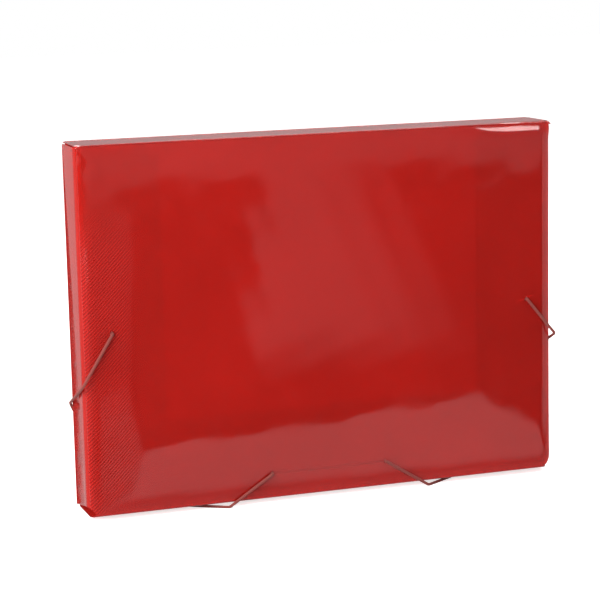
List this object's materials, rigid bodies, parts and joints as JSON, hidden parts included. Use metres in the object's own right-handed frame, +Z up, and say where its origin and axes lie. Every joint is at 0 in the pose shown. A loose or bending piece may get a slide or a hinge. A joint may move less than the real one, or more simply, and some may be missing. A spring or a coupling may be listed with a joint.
{
  "type": "flap file",
  "caption": "Slim landscape box file of creased translucent plastic sheet, with a hinged cover over folded flaps, held shut by an elastic cord round its lower corners.",
  "frame": {"origin": "middle of the outer box's underside, on the surface the file stands on", "axes": "+X along the width, to the right seen from the cover; +Z up; the cover faces -Y"},
  "size_m": [0.3346, 0.0416, 0.244],
  "materials": {
    "sheet": "glossy translucent polypropylene sheet",
    "cord": "woven cover over rubber core",
    "metal": "bright crimped steel"
  },
  "bodies": {
    "back_panel": {"back_panel": "sheet", "bottom_wall": "sheet"},
    "top_spine": {"top_spine": "sheet"},
    "front_cover": {"front_cover": "sheet", "elastic_left_side": "cord", "elastic_left_foot": "cord", "elastic_front": "cord", "elastic_right_foot": "cord", "elastic_right_side": "cord", "left_cord_end": "metal", "right_cord_end": "metal"},
    "left_wall": {"left_wall": "sheet"},
    "right_wall": {"right_wall": "sheet"},
    "left_flap": {"left_flap": "sheet"},
    "right_flap": {"right_flap": "sheet"},
    "bottom_flap": {"bottom_flap": "sheet"}
  },
  "joints": [
    {"name": "cover_fold", "type": "hinge", "parent": "top_spine", "child": "front_cover", "pos_m": [0, -0.018, 0.2435], "axis": [-1, 0, 0], "range_deg": [0, 90], "deforming": ["elastic_left_side", "elastic_left_foot", "elastic_front", "elastic_right_foot", "elastic_right_side"]},
    {"name": "spine_fold", "type": "hinge", "parent": "back_panel", "child": "top_spine", "pos_m": [0, 0.018, 0.2435], "axis": [-1, 0, 0], "range_deg": [0, 90]},
    {"name": "bottom_flap_fold", "type": "hinge", "parent": "back_panel", "child": "bottom_flap", "pos_m": [0, -0.0148, 0.0045], "axis": [1, 0, 0], "range_deg": [0, 90]},
    {"name": "left_wall_fold", "type": "hinge", "parent": "back_panel", "child": "left_wall", "pos_m": [-0.1645, 0.018, 0.123], "axis": [0, 0, -1], "range_deg": [0, 9]},
    {"name": "right_wall_fold", "type": "hinge", "parent": "back_panel", "child": "right_wall", "pos_m": [0.1645, 0.018, 0.123], "axis": [0, 0, 1], "range_deg": [0, 9]},
    {"name": "left_flap_fold", "type": "hinge", "parent": "left_wall", "child": "left_flap", "pos_m": [-0.1603, -0.0134, 0.123], "axis": [0, 0, -1], "range_deg": [0, 13.5]},
    {"name": "right_flap_fold", "type": "hinge", "parent": "right_wall", "child": "right_flap", "pos_m": [0.1603, -0.0134, 0.123], "axis": [0, 0, 1], "range_deg": [0, 13.5]}
  ],
  "couplings": [
    {"joint": "spine_fold", "follows": "cover_fold", "ratio": 1},
    {"joint": "bottom_flap_fold", "follows": "cover_fold", "ratio": 1},
    {"joint": "left_wall_fold", "follows": "cover_fold", "ratio": 0.1},
    {"joint": "right_wall_fold", "follows": "cover_fold", "ratio": 0.1},
    {"joint": "left_flap_fold", "follows": "cover_fold", "ratio": 0.15},
    {"joint": "right_flap_fold", "follows": "cover_fold", "ratio": 0.15}
  ]
}
